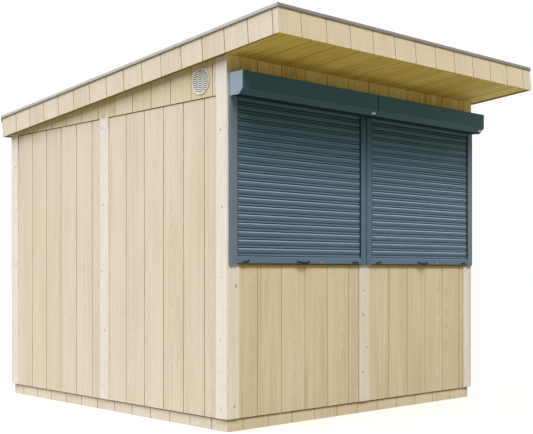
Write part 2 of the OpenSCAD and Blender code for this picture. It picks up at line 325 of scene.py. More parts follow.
def set_out(x, y, z, origin=(0, 0, 0)):
    """The matrix that lays X, Y and Z along three directions from an origin."""
    return Matrix.Translation(origin) @ Matrix((x, y, z)).transposed().to_4x4()


def placed(bm, matrix):
    """Moves a shape, and turns its faces outwards again where the move mirrors it."""
    bmesh.ops.transform(bm, matrix=matrix, verts=bm.verts)
    if matrix.determinant() < 0:
        face_outwards(bm)
    return bm


def joined(shapes):
    """One shape that holds several, with their marks."""
    whole = bmesh.new()
    for bm in shapes:
        part = bpy.data.meshes.new("part")
        bm.to_mesh(part)
        bm.free()
        whole.from_mesh(part)
        bpy.data.meshes.remove(part)
    return whole


def use_material(bm, index, faces=None):
    for face in bm.faces if faces is None else faces:
        face.material_index = index
    return bm


def smooth(bm, limit):
    """Soft shading, but not over edges that turn more than the limit in degrees."""
    for face in bm.faces:
        face.smooth = True
    for edge in bm.edges:
        edge.smooth = edge.calc_face_angle(math.pi) < math.radians(limit)
    return bm


def in_scene(name, data):
    """A new object in the scene that holds a mesh, a lamp or a camera."""
    made = bpy.data.objects.new(name, data)
    bpy.context.scene.collection.objects.link(made)
    return made


def as_object(name, bm):
    mesh = bpy.data.meshes.new(name)
    bm.to_mesh(mesh)
    bm.free()
    return in_scene(name, mesh)


def piece(name, bm, slot, nodes, *materials):
    """Makes a shape a finished piece that stands for CAD nodes. Its slot is not used."""
    made = as_object(name, bm)
    for material in materials:
        made.data.materials.append(material)
    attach(made, "root")
    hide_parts(*nodes)
    return made


# -------------------------------- timber

def mark_grain(bm, turn, grooves, seed, knot=None):
    """Writes each board's own grain place and tone, and where its knot lies, for the wood materials."""
    grain = bm.loops.layers.float_vector.new("grain")
    knot_at = bm.loops.layers.float_vector.new("knot")
    tone = bm.faces.layers.float.new("tone")
    back = turn.inverted()
    low, high = extent([vert.co for vert in bm.verts], turn)
    edges = [low.x, *grooves, high.x]
    for face in bm.faces:
        middle = back @ face.calc_center_median()
        board = sum(middle.x > groove for groove in grooves)
        luck = random.Random(seed * 1000 + board)
        centre = (edges[board] + edges[board + 1]) / 2
        shift = Vector((luck.uniform(-0.05, 0.05) - centre, luck.uniform(-3, 3), luck.uniform(0, 9)))
        face[tone] = luck.uniform(-1, 1)
        for loop in face.loops:
            loop[grain] = back @ loop.vert.co + shift
            loop[knot_at] = (loop.vert.co - knot[0]) / knot[1] if knot else Vector((99, 99, 99))


def groove_places(low, high, start):
    """Places of grooves between two edges, a board apart, in step with a known one."""
    first = start + math.ceil((low + LEAST_STRIP - start) / BOARD_PITCH) * BOARD_PITCH
    count = int((high - LEAST_STRIP - first) // BOARD_PITCH) + 1
    return [first + i * BOARD_PITCH for i in range(count)]


def fit_under_roof(bm, top):
    """Slants the top end of an upright piece to the roof's underside."""
    for vert in bm.verts:
        if vert.co.z > top - 2 * POST_ROUND:
            vert.co.z += under_roof(vert.co.y) - top


def grooved_sheet(points, turn, start, seed, fitted=False, end_cut=0.0, top_strip=0.0):
    """A panel with upright grooves in its outer face, which part it into boards. The outer face may be cut
    back at its two ends, and a strip along its top may have the third material, as the underside has: mostly
    painted shade."""
    low, high = extent(points, turn)
    bm = block(low, high)
    grooves = groove_places(low.x, high.x, start)
    if end_cut:
        for end in (low.x + end_cut, high.x - end_cut):
            cut_across(bm, end, 0)
    for groove in grooves:
        for width in (-GROOVE_W, -GROOVE_FLOOR_W, GROOVE_FLOOR_W, GROOVE_W):
            cut_across(bm, groove + width / 2, 0)
    if top_strip:
        cut_across(bm, high.z - top_strip, 2)
    outer = [vert for vert in bm.verts if vert.co.y < low.y + TINY]
    floor = [v for v in outer if any(abs(v.co.x - x) < GROOVE_FLOOR_W / 2 + TINY for x in grooves)]
    ends = [v for v in outer if end_cut and min(v.co.x - low.x, high.x - v.co.x) < TINY]
    bmesh.ops.translate(bm, vec=(0, GROOVE_DEEP, 0), verts=floor + ends)
    bm.normal_update()
    # Faces inside the grooves and end cuts take the groove wood, as painted shade
    for face in bm.faces:
        middle = face.calc_center_median()
        at_end = min(middle.x - low.x, high.x - middle.x) < end_cut
        inside = at_end or any(abs(middle.x - x) < GROOVE_W / 2 for x in grooves)
        face.material_index = 1 if inside and face.normal.y < -TINY else 0
        if face.normal.z < -FACING or face.normal.y > FACING or middle.z > high.z - top_strip:
            face.material_index = 2
    placed(bm, turn)
    if fitted:
        fit_under_roof(bm, extent(points)[1].z)
    mark_grain(bm, turn, grooves, seed)
    return bm


def plank(points, seed, knots, fitted):
    """An upright planed board or post with eased edges and its own knots, each a place and a radius."""
    low, high = extent(points)
    shapes = []
    knots = sorted(knots, key=lambda knot: knot[0].z) or [None]
    for i, knot in enumerate(knots):
        bm = block(low, high)
        round_edges(bm, POST_ROUND)
        if fitted:
            fit_under_roof(bm, high.z)
        if len(knots) > 1:
            keep_between(bm, knots, i)
        mark_grain(bm, FRONT, [], seed, knot)
        shapes.append(bm)
    whole = joined(shapes)
    if len(knots) > 1:
        weld(whole)
    return whole


def keep_between(bm, knots, i):
    """Cuts away what lies nearer to the knots above and below, and leaves the cuts open to be joined."""
    for other, side in ((i - 1, -1), (i + 1, 1)):
        if 0 <= other < len(knots):
            cut_across(bm, (knots[i][0].z + knots[other][0].z) / 2, 2, side, clear=True)


def knots_up(points, lowest, apart, largest, seed):
    """Knots one above the other on the outer face of a plank, at the uneven spacing of grown branches."""
    luck = random.Random(seed)
    low, high = extent(points)
    axis = 0 if high.x - low.x < high.y - low.y else 1
    across = 1 - axis
    outer = low if low[axis] + high[axis] < 0 else high
    found = []
    for i in range(int((high.z - lowest) / apart) + 1):
        place = Vector((0, 0, lowest + (i + luck.uniform(-KNOT_UNEVEN, KNOT_UNEVEN)) * apart))
        place[axis] = outer[axis]
        place[across] = low[across] + (high[across] - low[across]) * luck.uniform(*KNOT_ACROSS)
        found.append((place, largest * luck.uniform(KNOT_SMALLEST, 1.0)))
    return [knot for knot in found if low.z < knot[0].z < high.z]


# -------------------------------- finishes

def add_node(tree, kind, inputs, output=0, **settings):
    """A new node with its settings, and with a value or a link on each input. Gives one of its outputs."""
    made = tree.nodes.new(kind)
    for name, value in settings.items():
        setattr(made, name, value)
    for socket, value in inputs.items():
        if isinstance(value, bpy.types.NodeSocket):
            tree.links.new(value, made.inputs[socket])
        elif value is not None:
            made.inputs[socket].default_value = value
    return made.outputs[output]


def full(colour):
    """A colour with its alpha, from three parts or one grey."""
    return (*colour, 1) if len(colour) == 3 else (colour[0],) * 3 + (1,)


class Finish:
    """A material and the nodes that drive it; most calls add one node and give its output."""

    def __init__(self, name, **sockets):
        self.material = bpy.data.materials.new(name)
        self.material.use_nodes = True
        self.tree = self.material.node_tree
        self.shader = self.tree.nodes["Principled BSDF"]
        for socket, value in sockets.items():
            self.shader.inputs[socket.replace("_", " ")].default_value = value

    def node(self, kind, inputs, output=0, **settings):
        return add_node(self.tree, kind, inputs, output, **settings)

    def sum(self, *terms):
        total = terms[0]
        for term in terms[1:]:
            total = self.math("ADD", total, term)
        return total

    def math(self, operation, a, b=None, c=None):
        return self.node("ShaderNodeMath", {0: a, 1: b, 2: c}, operation=operation)

    def scaled(self, value, factor, offset=0.0):
        return self.math("MULTIPLY_ADD", value, factor, offset)

    def around_zero(self, value, size):
        """A value from 0 to 1 made to swing by half a size each way."""
        return self.scaled(value, size, -size / 2)

    def swings(self, base, *terms):
        """A base that values from 0 to 1 move up and down, each of them by half of its own size."""
        return self.sum(*[self.around_zero(value, size) for value, size in terms], base)

    def marked(self, name, output="Vector"):
        return self.node("ShaderNodeAttribute", {}, output, attribute_name=name)

    def own_place(self):
        return self.node("ShaderNodeTexCoord", {}, "Object")

    def stretched(self, vector, scale, turn=(0, 0, 0)):
        return self.node("ShaderNodeMapping", {0: vector, "Rotation": turn, "Scale": scale})

    def noise(self, vector, scale, detail=2.0, roughness=0.5):
        inputs = {"Vector": vector, "Scale": scale, "Detail": detail, "Roughness": roughness}
        return self.node("ShaderNodeTexNoise", inputs)

    def drawn_noise(self, vector, scale, detail=2.0, roughness=0.5):
        """Noise that a scale of its own along each axis draws out."""
        return self.noise(self.stretched(vector, scale), 1.0, detail, roughness)

    def part(self, vector, axis):
        return self.node("ShaderNodeSeparateXYZ", {0: vector}, axis)

    def ramp(self, value, stops, mode="LINEAR"):
        made = self.tree.nodes.new("ShaderNodeValToRGB")
        made.color_ramp.interpolation = mode
        while len(made.color_ramp.elements) < len(stops):
            made.color_ramp.elements.new(0.5)
        for element, (place, colour) in zip(made.color_ramp.elements, stops):
            element.position = place
            element.color = full(colour)
        self.tree.links.new(value, made.inputs[0])
        return made.outputs[0]

    def blend(self, factor, a, b):
        """From one colour to another as the factor goes from 0 to 1."""
        return self.node("ShaderNodeMix", {0: factor, 6: a, 7: b}, 2, data_type="RGBA")

    def drive(self, socket, value):
        self.tree.links.new(value, self.shader.inputs[socket])

    def relief(self, height, depth):
        """Surface relief: the height from 0 to 1 stands for a depth in metres."""
        self.drive("Normal", self.node("ShaderNodeBump", {"Height": height, "Distance": depth}))


def wood(name, dark, middle, light, knotty=False, grain_along=None, streaks=1.0):
    """Softwood with growth rings, streaks and fibres along the grain. Each board's marks set its
    own part of the tree, or grain_along turns the piece's own coordinates, for the inner timbers."""
    finish = Finish(name, Specular_IOR_Level=0.25)
    if grain_along is None:
        grain = finish.marked("grain")
    else:
        grain = finish.stretched(finish.own_place(), (1, 1, 1), grain_along)

    # Rings round a wandering pith, so that flat-sawn faces show long arches
    wander = finish.drawn_noise(grain, (5, 5, 0.9))
    pith = finish.drawn_noise(grain, (0.5, 0.5, 0.55), 1.0)
    bend = finish.around_zero(wander, 0.045)
    across = finish.math("ADD", finish.part(grain, "X"), bend)
    depth = finish.math("ADD", bend, finish.scaled(pith, 0.34, -0.10))
    radius = finish.math("SQRT", finish.sum(
        finish.math("MULTIPLY", across, across), finish.math("MULTIPLY", depth, depth)))
    if knotty:
        # Rings swerve round a knot, which is longer along the grain
        spot = finish.node(
            "ShaderNodeVectorMath", {0: finish.stretched(finish.marked("knot"), (1, 1, 0.62))},
            "Value", operation="LENGTH")
        pull = finish.math("DIVIDE", 1.0, finish.scaled(spot, finish.math("MULTIPLY", spot, 0.4), 1.0))
        radius = finish.scaled(pull, 0.02, radius)
    ring = finish.math("FRACT", finish.math("MULTIPLY", radius, 120.0))
    ring = finish.ramp(ring, [(0.0, (0.9,)), (0.12, (1.0,)), (0.75, (0.35,)), (0.93, (0.0,)), (1.0, (0.9,))])

    streak = finish.drawn_noise(grain, (75, 75, 1.3), 3.0, 0.6)
    fibre = finish.drawn_noise(grain, (700, 700, 16), 2.0)
    cloud = finish.drawn_noise(grain, (6, 6, 1.1), 2.0)
    tone = finish.marked("tone", "Fac")
    value = finish.swings(
        finish.scaled(tone, 0.11 * min(streaks, 1.0), 0.5),
        (ring, 0.22 * streaks), (streak, 1.05 * streaks), (fibre, 0.28 * streaks), (cloud, 0.75 * streaks))
    colour = finish.ramp(value, [(0.0, dark), (0.5, middle), (1.0, light)])
    if knotty:
        edge = finish.ramp(
            finish.math("MULTIPLY", spot, 0.5),
            [(0.0, (1.0,)), (0.30, (1.0,)), (0.47, (0.75,)), (0.62, (0.12,)), (1.0, (0.0,))])
        heart = finish.ramp(
            spot, [(0.0, (0.30, 0.25, 0.21)), (0.7, (0.40, 0.335, 0.285)), (1.0, (0.20, 0.165, 0.14))])
        colour = finish.blend(edge, colour, heart)
    finish.drive("Base Color", colour)
    finish.drive("Roughness", finish.scaled(ring, -0.08, 0.68))
    finish.relief(finish.sum(
        finish.math("MULTIPLY", fibre, 0.5), finish.math("MULTIPLY", ring, 0.3),
        finish.math("MULTIPLY", streak, 0.5)), 0.0006)
    return finish.material


def groove_wood(name, dark, light):
    """The darker wood inside a groove, as painted shade in the recess, with fine fuzz and patches."""
    finish = Finish(name, Specular_IOR_Level=0.15)
    grain = finish.marked("grain")
    fuzz = finish.drawn_noise(grain, (250, 250, 9), 3.0)
    patch = finish.drawn_noise(grain, (20, 20, 2), 2.0)
    value = finish.swings(0.5, (fuzz, 0.8), (patch, 0.6))
    finish.drive("Base Color", finish.ramp(value, [(0.0, dark), (1.0, light)]))
    finish.drive("Roughness", finish.scaled(fuzz, 0.15, 0.75))
    finish.relief(fuzz, 0.0004)
    return finish.material


def shade(colour, factor, lift=0.0):
    return tuple(min(part * factor + lift, 1) for part in colour)


def paint(name, colour, rough=0.38, sheen=0.25, swing=0.10, upper=None):
    """Powder paint on sheet metal: a faint orange peel, and dust that changes its tone a little. Its
    colour may go over to an upper one towards the shutter boxes, as painted shade under them."""
    finish = Finish(name, Specular_IOR_Level=sheen)
    place = finish.own_place()
    peel = finish.noise(place, 420.0, 2.0)
    dust = finish.drawn_noise(place, (2.2, 2.2, 3.5), 4.0, 0.62)
    wipe = finish.drawn_noise(place, (1.5, 14, 60), 2.0)
    value = finish.swings(0.5, (dust, swing), (wipe, swing * 0.7))
    coat = finish.ramp(
        value, [(0.0, shade(colour, 0.62)), (0.5, colour), (1.0, shade(colour, 1.38, 0.01))])
    # Towards the boxes the colour goes over to the upper one, as painted shade
    if upper:
        height = finish.scaled(finish.part(place, "Z"), 1 / SHADE_FADE_H, -SHADE_FADE_LOW / SHADE_FADE_H)
        box_shade = finish.ramp(height, [(0.0, (0.0,)), (1.0, (1.0,))], "EASE")
        coat = finish.blend(box_shade, coat, full(upper))
    finish.drive("Base Color", coat)
    finish.drive("Roughness", finish.swings(rough, (dust, 0.18), (peel, 0.06)))
    finish.relief(peel, 0.00006)
    return finish.material


def bare_metal(name, colour, rough):
    """Unpainted metal with fine drawn lines and a dull bloom."""
    finish = Finish(name, Metallic=1.0)
    place = finish.own_place()
    lines = finish.drawn_noise(place, (9, 60, 900), 3.0)
    bloom = finish.noise(place, 24.0, 4.0, 0.65)
    value = finish.swings(0.5, (lines, 0.5), (bloom, 0.7))
    finish.drive("Base Color", finish.ramp(value, [(0.0, shade(colour, 0.72)), (1.0, shade(colour, 1.18))]))
    finish.drive("Roughness", finish.swings(rough, (bloom, 0.25), (lines, 0.1)))
    finish.relief(lines, 0.00004)
    return finish.material


def plastic(name, colour, rough, swing=0.16):
    """Moulded plastic with a fine grained skin and a little grime."""
    finish = Finish(name, Specular_IOR_Level=0.2)
    place = finish.own_place()
    skin = finish.noise(place, 900.0, 2.0)
    grime = finish.noise(place, 30.0, 4.0, 0.6)
    value = finish.swings(0.5, (grime, swing * 2))
    finish.drive("Base Color", finish.ramp(value, [(0.0, shade(colour, 0.75)), (1.0, shade(colour, 1.2))]))
    finish.drive("Roughness", finish.swings(rough, (grime, 0.2)))
    finish.relief(skin, 0.00008)
    return finish.material


def felt(name):
    """Roofing felt with slate granules."""
    finish = Finish(name, Specular_IOR_Level=0.3)
    place = finish.own_place()
    granules = {"Vector": place, "Scale": 420.0}
    grit = finish.node("ShaderNodeTexVoronoi", granules, "Color")
    grey = finish.node("ShaderNodeSeparateColor", {0: grit}, 0)
    worn = finish.drawn_noise(place, (1.6, 3.2, 2), 5.0, 0.6)
    value = finish.swings(0.5, (grey, 0.7), (worn, 0.5))
    finish.drive("Base Color", finish.ramp(
        value, [(0.0, (0.028, 0.030, 0.032)), (0.6, (0.075, 0.078, 0.082)), (1.0, (0.17, 0.175, 0.18))]))
    finish.drive("Roughness", finish.scaled(grey, 0.2, 0.72))
    lumps = finish.node("ShaderNodeTexVoronoi", granules, "Distance")
    finish.relief(lumps, 0.0012)
    return finish.material


CLADDING = wood("pale_cladding", (0.63, 0.515, 0.385), (0.745, 0.640, 0.518), (0.81, 0.725, 0.62))
FASCIA = wood("fascia_boards", (0.67, 0.565, 0.455), (0.775, 0.68, 0.575), (0.835, 0.76, 0.67))
FRONT_BOARDS = wood(
    "front_cladding", (0.61, 0.515, 0.375), (0.735, 0.635, 0.513), (0.805, 0.725, 0.615), streaks=1.5)
# Gable boards: the cladding's wood made more ochre, as painted shade under the roof's edge
GABLE_SHADE_WOOD = wood("gable_boards", (0.60, 0.475, 0.285), (0.715, 0.598, 0.425), (0.785, 0.688, 0.53))
PLANED = wood(
    "planed_posts", (0.72, 0.635, 0.57), (0.83, 0.765, 0.717), (0.89, 0.855, 0.825),
    knotty=True, streaks=0.8)
# Front faces of the planks: a lighter copy of the planed wood, as painted light
PLANED_LIT_FRONT = wood(
    "planed_posts_painted_light", (0.74, 0.665, 0.60), (0.86, 0.80, 0.785), (0.915, 0.885, 0.875), knotty=True)
# Plank fronts above the shutter boxes: an ochre copy of the planed wood, as painted shade under the roof
PLANED_SHADE_HEAD = wood(
    "planed_post_heads_painted_shade", (0.70, 0.56, 0.26), (0.82, 0.69, 0.36), (0.88, 0.77, 0.46), streaks=0.6)
# Plinth boards: the cladding's wood made lighter, as painted light thrown up from the floor
PLINTH_LIT_WOOD = wood("plinth_boards", (0.67, 0.565, 0.435), (0.79, 0.695, 0.57), (0.85, 0.775, 0.665))
# Painted shade: dark olive wood for undersides, backs, tops of plinth and wall boards, and soffit sides
SHADED = wood("painted_shade_wood", (0.14, 0.11, 0.03), (0.205, 0.165, 0.045), (0.27, 0.22, 0.07))
# Painted shadow of the shutters' bars on the front boards
BAR_SHADOW_WOOD = wood("painted_bar_shadow_boards", (0.60, 0.49, 0.19), (0.70, 0.58, 0.25), (0.77, 0.66, 0.34))
# Soffit: an ochre copy of the wood, as painted shade under the roof
SOFFIT_SHADE_WOOD = wood("soffit_boards", (0.60, 0.43, 0.085), (0.795, 0.625, 0.165), (0.88, 0.74, 0.26), streaks=1.5)
# Head boards above the shutter boxes: an ochre copy of the wood, as painted shade under the roof
HEAD_SHADE_WOOD = wood("head_boards", (0.57, 0.41, 0.11), (0.825, 0.685, 0.29), (0.90, 0.78, 0.41), streaks=1.8)
# Groove wood, darker as painted shade in the grooves; the soffit and head copies are ochre as painted shade
# under the roof
GROOVE_SHADE_WOOD = groove_wood("groove_cut", (0.48, 0.37, 0.24), (0.66, 0.54, 0.38))
SOFFIT_SHADE_GROOVE = groove_wood("soffit_groove_cut", (0.42, 0.29, 0.09), (0.60, 0.45, 0.16))
HEAD_SHADE_GROOVE = groove_wood("head_groove_cut", (0.34, 0.23, 0.08), (0.48, 0.35, 0.14))
INNER_TONES = ((0.50, 0.36, 0.20), (0.66, 0.51, 0.31), (0.74, 0.60, 0.40))
UPRIGHT_INNER = wood("inner_upright_timber", *INNER_TONES, grain_along=(0, 0, 0))
LAID_INNER = wood("inner_laid_timber", *INNER_TONES, grain_along=(math.radians(90), 0, 0))
# Box paint: dark teal, partly the paint's colour and partly painted shade under the roof
BOX_PAINT_AND_SHADE = paint("box_paint_and_painted_shade", (0.050, 0.138, 0.208), sheen=0.09)
RAIL_PAINT = paint("rail_paint", (0.160, 0.220, 0.320), sheen=0.12)
BAR_PAINT = paint("end_bar_paint", (0.132, 0.200, 0.330), sheen=0.12)
# Upper tones: painted shade under the shutter boxes
SLAT_SHADE_UPPER = (0.064, 0.150, 0.218)
SLAT_PAINT = paint("slat_paint", (0.116, 0.190, 0.322), rough=0.34, sheen=0.08, upper=SLAT_SHADE_UPPER)
# Middle rails: a darker copy of the rail paint, as painted shade
MIDDLE_SHADE_PAINT = paint(
    "middle_rail_painted_shade", (0.118, 0.184, 0.298), sheen=0.08, upper=(0.052, 0.119, 0.185))
# Slat brows: a lighter paint, as a painted highlight along each slat's top edge
BROW_HIGHLIGHT_PAINT = paint(
    "slat_brow_painted_highlight", (0.345, 0.450, 0.640), rough=0.3, sheen=0.3, upper=(0.078, 0.165, 0.240))
# Slat lips: a lighter paint, as a painted highlight
LIP_HIGHLIGHT_PAINT = paint("slat_lip_painted_highlight", (0.150, 0.220, 0.350), sheen=0.12, upper=SLAT_SHADE_UPPER)
# Slat hollows: a dark paint, as painted shade in the joints
JOINT_SHADE_PAINT = paint(
    "slat_joint_painted_shade", (0.038, 0.064, 0.10), sheen=0.05, upper=(0.020, 0.045, 0.060))
# End caps: a lighter copy of the box paint, as a painted reflection of the light
CAP_HIGHLIGHT_PAINT = paint("end_cap_painted_highlight", (0.245, 0.325, 0.42), rough=0.36, sheen=0.5)
# Black of the bristles and rubber seals, also used as painted shade under the boxes, in seams and beside the
# slots
BRISTLE_AND_SHADE = plastic("bristle_seal_and_painted_shade", (0.010, 0.015, 0.020), 0.85)
# Black of the handles and levers, also used as painted shade in the crank sockets and key slots
BLACK_AND_SHADE = plastic("black_fittings_and_painted_shade", (0.007, 0.010, 0.016), 0.6)
VENT_WHITE = plastic("vent_white", (0.76, 0.745, 0.70), 0.5, 0.12)
VENT_SCREEN_SHADE = plastic("insect_screen", (0.09, 0.09, 0.09), 0.8, 0.12)
BRASS = bare_metal("lock_brass", (0.36, 0.29, 0.10), 0.42)
ZINC = bare_metal("zinc_eye", (0.52, 0.54, 0.53), 0.42)
# Edge trims: one coating, in a lighter copy on the sides as painted light
SIDE_TRIM_LIT = paint("side_trim_painted_light", (0.50, 0.505, 0.50), rough=0.42, swing=0.16)
# Drip edge: a dark paint, as painted shade under the trims
DRIP_SHADE_PAINT = paint("trim_drip_painted_shade", (0.085, 0.09, 0.085), rough=0.5, swing=0.16)
# The front trims' darker copy of the coating, as painted shade
FRONT_TRIM_SHADE = paint("front_trim_painted_shade", (0.262, 0.27, 0.28), rough=0.42, swing=0.16)
FELT = felt("roof_felt")


# -------------------------------- base, walls and posts

def grooved_piece(name, node, turn, start, seed, slot="cladding", woods=None, **cuts):
    """Boards that stand for a node's panels. The woods are for the faces, for the grooves, and for the
    undersides, backs and strips of painted shade."""
    woods = woods or (CLADDING, GROOVE_SHADE_WOOD, CLADDING)
    parts = [grooved_sheet(points, turn, start, seed + i, **cuts) for i, points in enumerate(solids(node))]
    return piece(name, joined(parts), slot, [node], *woods)


def make_base():
    front = WALL_LEFT + FRONT_PLINTH_GROOVE
    side = WALL_FRONT + SIDE_PLINTH_GROOVE
    # The plinth's undersides, backs and a strip along its top take painted shade
    woods = (PLINTH_LIT_WOOD, GROOVE_SHADE_WOOD, SHADED)
    cut = {"top_strip": PLINTH_SHADE_H}
    grooved_piece("plinth_boards_front", "plinth_front", FRONT, front, 11, woods=woods, **cut)
    grooved_piece("plinth_boards_back", "plinth_back", BACK, -front, 12, woods=woods, **cut)
    left, right = solids("plinth_sides")
    sheets = [grooved_sheet(left, LEFT, -side, 13, **cut), grooved_sheet(right, RIGHT, side, 14, **cut)]
    piece("plinth_boards_sides", joined(sheets), "cladding", ["plinth_sides"], *woods)


def make_walls():
    front = WALL_LEFT + FRONT_WALL_GROOVE
    side = WALL_FRONT + SIDE_WALL_GROOVE
    gable = WALL_FRONT + GABLE_GROOVE
    # Painted shadow: the front boards are coloured darker behind the bars of the shutters, and a little way
    # below them
    strip = node_extent("front_wall_panels")[1].z - node_extent("bottom_bar_left")[0].z + BAR_SHADOW_H
    grooved_piece(
        "front_wall_boards", "front_wall_panels", FRONT, front, 21,
        woods=(FRONT_BOARDS, GROOVE_SHADE_WOOD, BAR_SHADOW_WOOD), end_cut=END_CUT_W, top_strip=strip)
    # The head boards take ochre copies of the wood and groove, as painted shade under the roof
    woods = (HEAD_SHADE_WOOD, HEAD_SHADE_GROOVE, HEAD_SHADE_WOOD)
    grooved_piece("front_head_boards", "front_head_panel", FRONT, front, 25, woods=woods, fitted=True)
    # The side walls' undersides, backs and a strip along their tops take painted shade
    woods = (CLADDING, GROOVE_SHADE_WOOD, SHADED)
    cuts = {"end_cut": END_CUT_W, "top_strip": WALL_SHADE_H}
    grooved_piece("left_wall_boards", "left_wall_panels", LEFT, -side, 26, woods=woods, **cuts)
    grooved_piece("right_wall_boards", "right_wall_panels", RIGHT, side, 29, woods=woods, **cuts)
    grooved_piece(
        "back_wall_boards", "back_wall_panels", BACK, -front, 32, fitted=True, end_cut=END_CUT_W)
    # The gable boards carry ochre painted shade, and dark painted shade on their undersides
    woods = (GABLE_SHADE_WOOD, GROOVE_SHADE_WOOD, SHADED)
    vented = grooved_piece(
        "left_gable_boards", "left_gable_panel", LEFT, -gable, 35, woods=woods, fitted=True)
    grooved_piece("right_gable_boards", "right_gable_panel", RIGHT, gable, 37, woods=woods, fitted=True)
    cut_vent_hole(vented)


def cut_vent_hole(panel):
    """Opens the gable boards behind the vent."""
    low, high = node_extent("vent_grille")
    through = Matrix.Translation((low + high) / 2) @ Matrix.Rotation(math.radians(90), 4, "Y")
    cutter = as_object("vent_hole", placed(cylinder(VENT_HOLE / 2, VENT_HOLE * 2), through))
    cut = panel.modifiers.new("vent_hole", "BOOLEAN")
    cut.object = cutter
    cut.solver = "EXACT"
    shaped = panel.evaluated_get(bpy.context.evaluated_depsgraph_get())
    result = bpy.data.meshes.new_from_object(shaped)
    panel.modifiers.clear()
    panel.data = result
    bpy.data.objects.remove(cutter)


def make_posts():
    box_top = node_extent("shutter_box_left")[1].z

    def upright(name, node, growths, seed, fitted=True, shaded_head=False):
        parts = []
        for i, points in enumerate(solids(node)):
            own = knots_up(points, *growths[i % len(growths)], seed + i)
            bm = plank(points, seed + i, own, fitted)
            if shaded_head:
                cut_across(bm, box_top, 2)
            # Faces towards the front take the lighter copy of the wood, as painted light
            fronts = [face for face in bm.faces if face.normal.y < -0.5]
            # Front faces above the boxes take the ochre copy, as painted shade under the roof
            heads = [face for face in fronts if shaded_head and face.calc_center_median().z > box_top]
            use_material(bm, 1, fronts)
            use_material(bm, 2, heads)
            parts.append(bm)
        piece(name, joined(parts), "planed_timber", [node], PLANED, PLANED_LIT_FRONT, PLANED_SHADE_HEAD)

    growths = [FRONT_LEFT_GROWTH, FRONT_RIGHT_GROWTH]
    upright("corner_planks_front", "corner_boards_front", growths, 41, shaded_head=True)
    upright("corner_planks_back", "corner_boards_back", [BACK_GROWTH], 44)
    upright("corner_planks_sides", "corner_boards_sides", [SIDE_GROWTH], 47, shaded_head=True)
    upright("front_middle_plank", "front_middle_post", [FRONT_MIDDLE_GROWTH], 52, fitted=False)
    upright("left_middle_plank", "left_middle_post", [SIDE_MIDDLE_GROWTH], 54, fitted=False)
    upright("right_middle_plank", "right_middle_post", [SIDE_MIDDLE_GROWTH], 56, fitted=False)
    upright("back_middle_plank", "back_middle_post", [BACK_GROWTH], 58)


def finish_inner_timbers():
    """The posts, bearers, rafters and sheets inside keep their CAD shape."""
    clothe("corner_posts", UPRIGHT_INNER)
    for node in ("floor_bearers", "floor_deck", "roof_rafters", "roof_deck"):
        clothe(node, LAID_INNER)


def clothe(node, material):
    for material_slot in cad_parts[node].material_slots:
        material_slot.material = material


# -------------------------------- roof

def make_roof():
    fascia_low = node_extent("fascia_front", ROOF)[0]
    front = fascia_low.x + FRONT_FASCIA_GROOVE
    side = fascia_low.y + SIDE_FASCIA_GROOVE
    slot = "fascia_timber"
    # The fascias' undersides and backs take painted shade: the front one the soffit's ochre, the others the
    # dark olive
    woods = (CLADDING, GROOVE_SHADE_WOOD, SHADED)
    grooved_piece(
        "fascia_boards_front", "fascia_front", ROOF @ FRONT, front, 61, slot, (FASCIA, GROOVE_SHADE_WOOD, SOFFIT_SHADE_WOOD))
    grooved_piece("fascia_boards_back", "fascia_back", ROOF @ BACK, -front, 62, slot, woods)
    grooved_piece("fascia_boards_left", "fascia_left", ROOF @ LEFT, -side, 63, slot, woods)
    grooved_piece("fascia_boards_right", "fascia_right", ROOF @ RIGHT, side, 64, slot, woods)
    make_soffit()
    make_felt()
    make_trims()


def make_soffit():
    """Boards under the roof, ochre as painted shade, and darker still beside the walls than in front of
    them.
    """
    soffit = grooved_sheet(solids("roof_soffit")[0], UNDER_ROOF, WALL_LEFT + FRONT_WALL_GROOVE, 65)
    for place, axis in ((WALL_LEFT, 0), (-WALL_LEFT, 0), (WALL_FRONT, 1)):
        cut_across(soffit, place, axis)
    middles = {face: face.calc_center_median() for face in soffit.faces}
    # The soffit beside the side walls takes the dark painted shade
    use_material(soffit, 3, [f for f, m in middles.items() if abs(m.x) > -WALL_LEFT and m.y > WALL_FRONT])
    piece("soffit_boards", soffit, "cladding", ["roof_soffit"], SOFFIT_SHADE_WOOD, SOFFIT_SHADE_GROOVE, SOFFIT_SHADE_WOOD, SHADED)


def make_felt():
    """Lengths of felt from side to side, with a lap strip over each joint."""
    low, high = node_extent("roof_covering", ROOF)
    bm = block(low, high)
    steps = 4 * FELT_LENGTHS
    for i in range(1, steps):
        cut_across(bm, low.y + (high.y - low.y) * i / steps, 1)
    strips = [placed(bm, ROOF)]
    for i in range(1, FELT_LENGTHS):
        middle = low.y + (high.y - low.y) * i / FELT_LENGTHS
        strip = block(
            (low.x + TRIM_FLANGE, middle - FELT_LAP / 2, high.z - TINY),
            (high.x - TRIM_FLANGE, middle + FELT_LAP / 2, high.z + LAP_THICK))
        round_edges(strip, 0.001, segments=1)
        strips.append(placed(strip, ROOF))
    piece("felt_lengths", joined(strips), "roofing_felt", ["roof_covering"], FELT)


def folded_strip(outline, start, end, along):
    """A strip of folded sheet: its outline, drawn out from one end to the other, with painted shade at the
    drip.
    """
    bm = drawn_out(outline, end - start)
    low = min(vert.co.y for vert in bm.verts)
    use_material(bm, 1, [face for face in bm.faces if face.calc_center_median().y < low + DRIP_H])
    return placed(bm, along @ Matrix.Translation((0, 0, start)))


